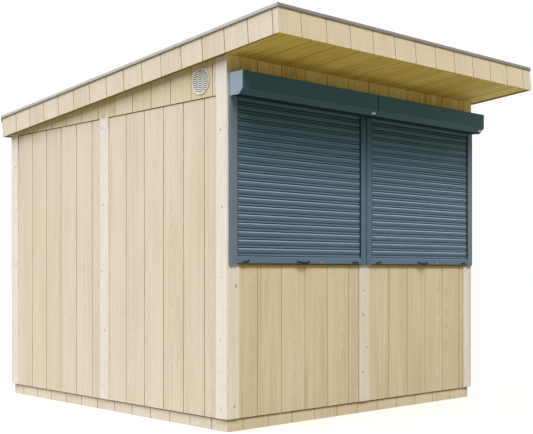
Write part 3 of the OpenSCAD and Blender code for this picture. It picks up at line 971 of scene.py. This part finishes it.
def make_trims():
    """Folded edge trims with a hem at the drip edge and a flange under their upstand."""
    # Across the roof the outline lies in depth and height, and along its sides in X and height
    crosswise = ROOF @ set_out(INTO, UP, ACROSS)
    lengthwise = ROOF @ set_out(-ACROSS, UP, INTO)
    top = node_extent("roof_covering", ROOF)[1].z
    sheet = TRIM_SHEET
    hem = TRIM_HEM

    def trim_outline(face, inward, low, high):
        """Seen from the end: hem, face, rolled upstand and flange."""
        steps = [
            (-hem, low), (0, low + hem), (0, low + DRIP_H), (0, high - 2 * sheet), (sheet, high),
            (3 * sheet, high), (4 * sheet, high - 2 * sheet), (5 * sheet, top + sheet),
            (TRIM_FLANGE, top + sheet), (TRIM_FLANGE, top), (sheet, top), (sheet, low + hem),
            (sheet - hem, low)]
        return [(face + inward * step, height) for step, height in steps]

    for name, node, inward in (("edge_trim_front", "trim_front", 1), ("edge_trim_back", "trim_back", -1)):
        low, high = node_extent(node, ROOF)
        face = low.y if inward > 0 else high.y
        bm = folded_strip(trim_outline(face, inward, low.z, high.z), low.x, high.x, crosswise)
        piece(name, bm, "edge_trim", [node], FRONT_TRIM_SHADE, DRIP_SHADE_PAINT)
    low, high = node_extent("trim_left", ROOF)
    outline = trim_outline(-low.x, -1, low.z, high.z)
    for name, node, mirrored in (("edge_trim_left", "trim_left", 1), ("edge_trim_right", "trim_right", -1)):
        bm = folded_strip(outline, low.y, high.y, Matrix.Diagonal((mirrored, 1, 1, 1)) @ lengthwise)
        piece(name, bm, "edge_trim", [node], SIDE_TRIM_LIT, DRIP_SHADE_PAINT)


# -------------------------------- vent

def make_vent():
    """A round face with a rolled rim, two ribs and slanting blades, and the sleeve behind it."""
    low, high = node_extent("vent_grille")
    radius = (high.z - low.z) / 2
    middle = (low + high) / 2
    # Local Z points out of the hut from the gable's outer face
    base_x = -node_extent("right_gable_panel")[1].x
    proud = base_x - low.x
    matrix = set_out(-INTO, UP, -ACROSS, (base_x, middle.y, middle.z))
    inner = radius - VENT_RIM
    rim = [
        (inner, 0.0), (inner, proud * 0.7), (inner + 0.002, proud * 0.8), (inner + 0.004, proud),
        (radius - 0.005, proud), (radius - 0.0015, proud * 0.8), (radius, proud * 0.4), (radius, 0.0)]
    tube = VENT_HOLE / 2 - TINY
    depth = high.x - base_x
    sleeve = [(tube - VENT_WALL, -depth), (tube, -depth), (tube, TINY), (tube - VENT_WALL, TINY)]
    # Behind the blades an insect screen, whose dark grey is partly painted shade in the opening
    screen = cylinder(inner, 2 * TINY)
    bmesh.ops.translate(screen, vec=TINY * UP, verts=screen.verts)
    shapes = [spun(rim), spun(sleeve), use_material(screen, 1)]
    for side in (-1, 1):
        rib_x = side * (RIB_FROM_MIDDLE + RIB_W / 2)
        reach = math.sqrt(inner ** 2 - rib_x ** 2)
        rib = block((rib_x - RIB_W / 2, -reach, 0), (rib_x + RIB_W / 2, reach, proud * BLADE_PROUD))
        round_edges(rib, 0.0008, segments=1)
        shapes.append(rib)
    beside = RIB_FROM_MIDDLE + RIB_W
    spans = ((-RIB_FROM_MIDDLE, RIB_FROM_MIDDLE, 0.0), (beside, inner, 0.5), (-inner, -beside, 0.5))
    for start, end, stagger in spans:
        for row in range(-BLADE_ROWS, BLADE_ROWS + 1):
            height = (row + 0.5 + stagger) * BLADE_PITCH
            if abs(height) < inner - 0.004:
                half = math.sqrt(inner ** 2 - height ** 2)
                x0, x1 = max(start, -half), min(end, half)
                if x1 - x0 > BLADE_LEAST:
                    shapes.append(blade(x0 - 0.001, x1 + 0.001, height, proud))
    bm = joined([placed(shape, matrix) for shape in shapes])
    piece("vent_cover", bm, "vent_plastic", ["vent_grille"], VENT_WHITE, VENT_SCREEN_SHADE)


def blade(x0, x1, height, proud):
    """One slanting blade of the vent."""
    outline = [
        (-0.0034, 0.0011), (0.0020, 0.0011), (0.0046, proud * BLADE_PROUD), (0.0014, proud * BLADE_PROUD),
        (-0.0014, proud * 0.4)]
    return placed(drawn_out(outline, x1 - x0), set_out(-INTO, UP, ACROSS, (x0, height, 0)))


# -------------------------------- roller shutters

def along_front(right_end, z):
    """Outlines in distance out from the corner boards and height, drawn out from the right end leftwards."""
    return set_out(-INTO, UP, -ACROSS, (right_end, WALL_FRONT, z))


def slat_outline(back, front):
    """One slat from its lower to its upper joint: a lip, a crease and a bowed body that leans out
    towards its rounded top edge, then the flat back."""
    hollow = front - SLAT_HOLLOW
    lip = [
        (hollow, 0.0), (hollow, 0.0022), (front - 0.0020, 0.0030), (front - 0.0008, 0.0045),
        (front - 0.0008, 0.0070), (front - 0.0018, 0.0095), (front - 0.0036, 0.0118), (hollow, 0.0135),
        (hollow, 0.0145)]
    body = []
    for turn in map(math.radians, BODY_TURNS):
        rise = math.sin(turn) - math.sin(math.radians(BODY_TURNS[-1]))
        body.append((front - SLAT_BOW * (1 - math.cos(turn)), SLAT_BROW + SLAT_BOW * rise))
    brow = [(front - 0.0008, 0.0425), (front - 0.0022, 0.0450), (front - 0.0042, 0.0466)]
    top = [(hollow, SLAT_PITCH - 0.0018), (hollow, SLAT_PITCH), (back, SLAT_PITCH), (back, 0.0)]
    return lip + body + brow + top


def make_curtain(name, node):
    """Interlocking slats, each a hair to one side or the other, and the plain last stretch in the box."""
    low, high = node_extent(node)
    front = WALL_FRONT - low.y
    outline = slat_outline(WALL_FRONT - high.y, front)
    count = math.floor((high.z - low.z) / SLAT_PITCH + TINY)
    slats = []
    for i in range(count):
        luck = random.Random(900 + i)
        bm = drawn_out(outline, high.x - low.x - SLAT_PLAY)
        middles = {face: face.calc_center_median() for face in bm.faces}
        outer = {face: middle for face, middle in middles.items() if face.normal.x > 0.1}
        # A band under each slat's brow takes a lighter paint, as painted highlight
        use_material(bm, 1, [f for f, m in outer.items() if SLAT_BROW < m.y < SLAT_BROW + 0.0052])
        # Faces of the lip take a lighter paint, as painted highlight
        use_material(bm, 3, [f for f, m in outer.items() if 0.004 < m.y < 0.010])
        # The hollow faces of the joint take a dark paint, as painted shade
        use_material(bm, 2, [f for f, m in middles.items() if m.x < front - SLAT_HOLLOW + TINY])
        place = along_front(high.x - luck.uniform(0, SLAT_PLAY), low.z + i * SLAT_PITCH)
        slats.append(placed(smooth(bm, 40), place))
    slats.append(block((low.x, low.y + 0.001, low.z + count * SLAT_PITCH), high))
    piece(name, joined(slats), "shutter_slats", [node], SLAT_PAINT, BROW_HIGHLIGHT_PAINT, JOINT_SHADE_PAINT, LIP_HIGHLIGHT_PAINT)


def rail_outline(width, depth, seam):
    """Guide rail seen from its end, (out, across) from its outer back corner: two fine grooves in the
    face, and the slot for the slats with its lip. A seam cuts the outer edge back."""
    edge = [(depth, 0.0)]
    if seam:
        edge = [(depth - SEAM_DEEP, 0.0), (depth - SEAM_DEEP, SEAM_W), (depth, SEAM_W)]
    return [
        (0.0, 0.0), *edge, (depth, 0.0085), (depth - 0.0012, 0.0093), (depth - 0.0012, 0.0112),
        (depth, 0.0120), (depth, width - 0.014), (depth - 0.0007, width - 0.0135),
        (depth - 0.0007, width - 0.0125), (depth, width - 0.012), (depth, width),
        (RAIL_SLOT_FRONT, width), (RAIL_SLOT_FRONT, width - RAIL_SLOT_DEEP),
        (RAIL_SLOT_BACK, width - RAIL_SLOT_DEEP), (RAIL_SLOT_BACK, width), (0.0, width)]


def make_rails(name, node):
    """Two rails with their slots facing each other, and the bristle strips that brush the slats."""
    shapes = []
    brush_front = RAIL_SLOT_FRONT + BRUSH_THICK
    for i, (low, high) in enumerate(solid_extents(node)):
        width, depth, length = high - low
        inward = -1 if i else 1
        outer = high.x if i else low.x
        matrix = set_out(-INTO, inward * ACROSS, UP, (outer, WALL_FRONT, low.z))
        # The rails at the middle of the hut take a darker paint as painted shade, with a seam where they
        # meet
        at_middle = abs(low.x + high.x) < 4 * width
        rail = drawn_out(rail_outline(width, depth, at_middle), length)
        long_edges = [
            edge for edge in sharp_edges(rail)
            if abs(edge.verts[0].co.z - edge.verts[1].co.z) > length / 2
            and abs(edge.verts[0].co.x - depth) < TINY]
        round_edges(rail, 0.0013, long_edges)
        if at_middle:
            use_material(rail, 2)
            # The seam's faces take the black of the bristles, as painted shade in the seam
            use_material(rail, 1, [f for f in rail.faces if f.calc_center_median().y < SEAM_W - TINY])
        brush = block((RAIL_SLOT_FRONT - 0.0001, width - 0.010, 0), (brush_front, width + BRUSH_W, length))
        for part in (0.25, 0.5, 0.75):
            cut_across(brush, length * part, 2)
        # A black sheet on the inner face of the rail's lip, beside the brush, is painted shade
        lip = block((brush_front, width - TINY, 0), (depth - 0.0022, width + 0.0006, length))
        shapes += [placed(shape, matrix) for shape in (rail, use_material(brush, 1), use_material(lip, 1))]
    piece(name, joined(shapes), "shutter_frame", [node], RAIL_PAINT, BRISTLE_AND_SHADE, MIDDLE_SHADE_PAINT)


def make_bottom_bar(name, node):
    """Hollow bar with a nose at its top, a shallow channel in its face and a rubber strip below."""
    low, high = node_extent(node)
    back = WALL_FRONT - high.y
    front = WALL_FRONT - low.y
    height = high.z - low.z
    length = high.x - low.x - 2 * BAR_INSET
    rubber = RUBBER_H
    bar = [
        (back, rubber), (front - 0.004, rubber), (front - 0.001, rubber + 0.003), (front, rubber + 0.005),
        (front, 0.0115), (front - 0.0006, 0.0120), (front - 0.0006, 0.0128), (front, 0.0133),
        (front, height - 0.007), (front - 0.0025, height - 0.0025), (front - 0.006, height), (back, height)]
    seal = [
        (back + 0.002, 0.0), (front - 0.006, 0.0), (front - 0.004, 0.002), (front - 0.004, rubber),
        (back + 0.002, rubber)]
    place = along_front(high.x - BAR_INSET, low.z)
    shapes = [
        block((low.x, high.y - BAR_TONGUE, low.z), high), placed(drawn_out(bar, length), place),
        placed(use_material(drawn_out(seal, length), 1), place)]
    piece(name, joined(shapes), "shutter_slats", [node], BAR_PAINT, BRISTLE_AND_SHADE)


def make_box(name, node):
    """Folded sheet housing: front, slanted cover with its lip, open slit for the slats, and two end caps."""
    low, high = node_extent(node)
    deep = WALL_FRONT - low.y
    tall = high.z - low.z
    length = high.x - low.x - 2 * BOX_CAP
    edge = deep - BOX_SLANT
    chain = [
        (BOX_SLIT, 0.0), (edge - BOX_LIP, 0.0), (edge, 0.0), (deep, BOX_SLANT),
        (deep, tall), (0.0, tall), (0.0, 0.0), (BOX_SHEET, 0.0)]
    bm = bmesh.new()
    verts = [bm.verts.new((x, y, 0)) for x, y in chain]
    edges = [bm.edges.new(pair) for pair in zip(verts, verts[1:])]
    raise_new(bm, bmesh.ops.extrude_edge_only(bm, edges=edges), length)
    round_edges(bm, BOX_FOLD, sharp_edges(bm, 20), 3)
    weld(bm)
    face_outwards(bm)
    bmesh.ops.solidify(bm, geom=bm.faces[:], thickness=BOX_SHEET)
    # The sheet may grow to either side of its line, so the shell is brought back to its own size
    shell_low, shell_high = extent([vert.co for vert in bm.verts])
    face_outwards(bm)
    shell = shell_high - shell_low
    squeeze = Matrix.Diagonal((deep / shell.x, tall / shell.y, 1, 1))
    placed(bm, squeeze @ Matrix.Translation((-shell_low.x, -shell_low.y, 0)))
    # Faces that look down, and the fold lip under the slanted cover, take black as painted shade
    use_material(bm, 2, [
        face for face in bm.faces if face.normal.y < -FACING
        or (face.calc_center_median().y < BOX_SHEET and face.normal.y < -0.5)])
    fold = [(edge - 0.010, -0.005), (edge - 0.007, -0.005), (edge - 0.006, 0.001), (edge - 0.010, 0.001)]
    lip = use_material(drawn_out(fold, length), 2)
    shapes = [placed(shape, along_front(high.x - BOX_CAP, low.z)) for shape in (bm, lip)]
    for end in (high.x, low.x + BOX_CAP):
        # The ends that meet at the middle of the hut lie a little deeper, as a seam, and are black as
        # painted shade in it
        seam = BOX_SEAM if abs(end) < 2 * BOX_CAP else 0.0
        outline = [
            (0.0, seam), (edge - seam / 2, seam), (deep - seam, BOX_SLANT + seam / 2),
            (deep - seam, tall - seam), (0.0, tall - seam)]
        cap = use_material(drawn_out(outline, BOX_CAP, 0.0025), 2 if seam else 1)
        round_edges(cap, 0.0012, sharp_edges(cap))
        shapes.append(placed(cap, along_front(end, low.z)))
    piece(name, joined(shapes), "shutter_frame", [node], BOX_PAINT_AND_SHADE, CAP_HIGHLIGHT_PAINT, BRISTLE_AND_SHADE)


def make_crank_plates():
    """Oval plates on the slanted covers: a painted surround with a bright eye for the crank."""
    shapes = []
    outward = Vector((0, -1, -1)).to_track_quat("Z", "Y").to_matrix().to_4x4()
    for low, high in solid_extents("crank_plates"):
        matrix = Matrix.Translation((low + high) / 2) @ outward
        surround = oval_disc(0.050, 0.026)
        bmesh.ops.translate(surround, vec=-PLATE_H * UP, verts=surround.verts)
        eye = use_material(oval_disc(0.036, 0.012), 1)
        # The sunken middle of the eye is black, as painted shade in the crank's socket
        sink_top(eye, 0.0032, 0.002).material_index = 2
        shapes += [placed(surround, matrix), placed(eye, matrix)]
    piece("crank_eyes", joined(shapes), "zinc_plate", ["crank_plates"], RAIL_PAINT, ZINC, BLACK_AND_SHADE)


def oval_disc(width, height):
    """A disc with straight long sides and an eased upper rim, lying in X and Y."""
    half = height / 2
    straight = width / 2 - half
    steps = 12
    outline = []
    for side in (1, -1):
        for i in range(steps + 1):
            turn = math.pi * i / steps - math.pi / 2
            outline.append((side * (straight + half * math.cos(turn)), side * half * math.sin(turn)))
    bm = drawn_out(outline, PLATE_H)
    round_edges(bm, 0.001, [e for e in bm.edges if min(v.co.z for v in e.verts) > PLATE_H - TINY / 10])
    return bm


def make_handles():
    """Bow handles: a bar that dips in the middle and thins towards its ends, bent back to two feet."""
    shapes = []
    for low, high in solid_extents("pull_handles"):
        centre = (low + high) / 2
        bar = block(
            (low.x, low.y, centre.z - HANDLE_H / 2), (high.x, low.y + HANDLE_THICK, centre.z + HANDLE_H / 2))
        for i in range(1, HANDLE_STEPS):
            cut_across(bar, low.x + (high.x - low.x) * i / HANDLE_STEPS, 0)
        reach = (high.x - low.x) / 2
        depth = high.y - low.y - HANDLE_THICK
        for vert in bar.verts:
            part = abs(vert.co.x - centre.x) / reach
            vert.co.z = centre.z + (vert.co.z - centre.z) * (1 - 0.45 * part ** 3)
            vert.co.y += depth * max(0.0, (part - HANDLE_BEND) / (1 - HANDLE_BEND)) ** 1.6
            vert.co.z += HANDLE_LIFT * part ** 2 - HANDLE_DIP
        face_outwards(bar)
        round_edges(bar, 0.0018, sharp_edges(bar))
        shapes.append(smooth(bar, 40))
        for side in (-1, 1):
            x = centre.x + side * (reach - 0.006)
            foot = block(
                (x - 0.005, high.y - 0.0025, centre.z - 0.002), (x + 0.005, high.y, centre.z + 0.008))
            round_edges(foot, 0.001)
            shapes.append(foot)
    piece("bow_handles", joined(shapes), "black_plastic", ["pull_handles"], BLACK_AND_SHADE)


def make_stops():
    """Stop levers on the bars: a base plate and a lever, whose end curls up on the left of each bar."""
    curled = [
        (-0.023, -0.0060), (-0.008, -0.0080), (0.008, -0.0070), (0.018, -0.0035), (0.0265, 0.0060),
        (0.0250, 0.0110), (0.0190, 0.0080), (0.012, 0.0015), (0.004, 0.0000), (-0.022, -0.0005)]
    level = [
        (-0.0275, -0.0065), (0.010, -0.0055), (0.0270, -0.0010), (0.0275, 0.0045), (0.006, 0.0030),
        (-0.012, 0.0045), (-0.0265, 0.0000)]
    shapes = []
    for i, (low, high) in enumerate(solid_extents("bar_stops")):
        x, y, z = (low + high) / 2
        base = block((x - 0.012, high.y - 0.003, z - 0.005), (x + 0.006, high.y, z + 0.002))
        round_edges(base, 0.001)
        lever = drawn_out(level if i % 2 else curled, LEVER_THICK, 0.0012)
        shapes += [base, placed(lever, set_out(ACROSS, UP, -INTO, (x, low.y + LEVER_THICK, z)))]
    piece("stop_levers", joined(shapes), "black_plastic", ["bar_stops"], BLACK_AND_SHADE)


def make_locks():
    """Lock cylinders: a collar, a recessed plug and its key slot."""
    shapes = []
    for low, high in solid_extents("lock_cylinders"):
        deep = high.y - low.y
        bm = cylinder((high.x - low.x) / 2, deep, 32)
        round_edges(bm, 0.0012, [e for e in bm.edges if min(v.co.z for v in e.verts) > 0])
        sink_top(bm, 0.0026, 0.0012)
        smooth(bm, 30)
        # The key slot is a black bar, as painted shade in the keyway
        slot = block((-0.0008, -0.0034, deep / 2 - 0.0016), (0.0008, 0.0034, deep / 2 - 0.0008))
        use_material(slot, 1)
        matrix = Matrix.Translation((low + high) / 2) @ Matrix.Rotation(math.radians(90), 4, "X")
        shapes += [placed(bm, matrix), placed(slot, matrix)]
    piece("bar_locks", joined(shapes), "lock_brass", ["lock_cylinders"], BRASS, BLACK_AND_SHADE)


def make_shutters():
    for side in ("left", "right"):
        make_curtain(f"slats_{side}", f"curtain_{side}")
        make_rails(f"rails_{side}", f"guide_rails_{side}")
        make_bottom_bar(f"end_bar_{side}", f"bottom_bar_{side}")
        make_box(f"housing_{side}", f"shutter_box_{side}")
    make_crank_plates()
    make_handles()
    make_stops()
    make_locks()


# -------------------------------- studio

def fresh_tree(owner):
    """The emptied node tree of a material or a world."""
    owner.use_nodes = True
    owner.node_tree.nodes.clear()
    return owner.node_tree


def seen_directly(tree):
    """1 where the eye looks straight or by a reflection or through glass, 0 for scattered light."""
    path = tree.nodes.new("ShaderNodeLightPath")
    seen = path.outputs["Is Camera Ray"]
    for kind in ("Is Glossy Ray", "Is Transmission Ray"):
        seen = add_node(tree, "ShaderNodeMath", {0: seen, 1: path.outputs[kind]}, operation="MAXIMUM")
    return seen


def make_floor():
    """White where it is seen, and a warm surface for the light that it throws back."""
    bm = bmesh.new()
    bmesh.ops.create_grid(bm, x_segments=1, y_segments=1, size=FLOOR_HALF)
    floor = as_object("studio_floor", bm)
    material = bpy.data.materials.new("studio_floor")
    tree = fresh_tree(material)
    seen = seen_directly(tree)
    colour = add_node(
        tree, "ShaderNodeMix", {0: seen, 6: full(FLOOR_BOUNCE), 7: full(FLOOR_SEEN)}, 2, data_type="RGBA")
    glow = add_node(tree, "ShaderNodeMath", {0: seen, 1: FLOOR_GLOW}, operation="MULTIPLY")
    lit = add_node(tree, "ShaderNodeBsdfDiffuse", {"Color": colour})
    shining = add_node(tree, "ShaderNodeEmission", {"Color": (1, 1, 1, 1), "Strength": glow})
    both = add_node(tree, "ShaderNodeAddShader", {0: lit, 1: shining})
    out = tree.nodes.new("ShaderNodeOutputMaterial")
    tree.links.new(both, out.inputs[0])
    floor.data.materials.append(material)


def make_world():
    """White where it is seen, and a faint warm light from all sides."""
    world = bpy.data.worlds.new("studio")
    bpy.context.scene.world = world
    tree = fresh_tree(world)
    room = add_node(tree, "ShaderNodeBackground", {"Color": full(ROOM_COLOUR), "Strength": ROOM_LIGHT})
    white = add_node(tree, "ShaderNodeBackground", {"Color": (1, 1, 1, 1)})
    choice = add_node(tree, "ShaderNodeMixShader", {0: seen_directly(tree), 1: room, 2: white})
    out = tree.nodes.new("ShaderNodeOutputWorld")
    tree.links.new(choice, out.inputs[0])


def make_lamps():
    for name, (azimuth, elevation, width, strength, tint) in LAMPS.items():
        lamp = bpy.data.lights.new(name, "SUN")
        lamp.energy = strength
        lamp.color = tint
        lamp.angle = math.radians(width)
        around = math.radians(azimuth)
        up = math.radians(elevation)
        source = Vector((math.sin(around) * math.cos(up), -math.cos(around) * math.cos(up), math.sin(up)))
        in_scene(name, lamp).rotation_euler = source.to_track_quat("Z", "Y").to_euler()


def make_camera():
    camera = bpy.data.cameras.new("eye")
    camera.lens = LENS_MM
    camera.sensor_width = 36
    camera.shift_y = LENS_RISE
    made = in_scene("eye", camera)
    made.location = EYE
    made.rotation_euler = (math.radians(90), 0, math.radians(EYE_TURN))
    bpy.context.scene.camera = made


make_camera()
make_base()
make_walls()
make_posts()
finish_inner_timbers()
make_roof()
make_vent()
make_shutters()
make_floor()
make_world()
make_lamps()
bpy.context.scene.view_settings.view_transform = "Standard"
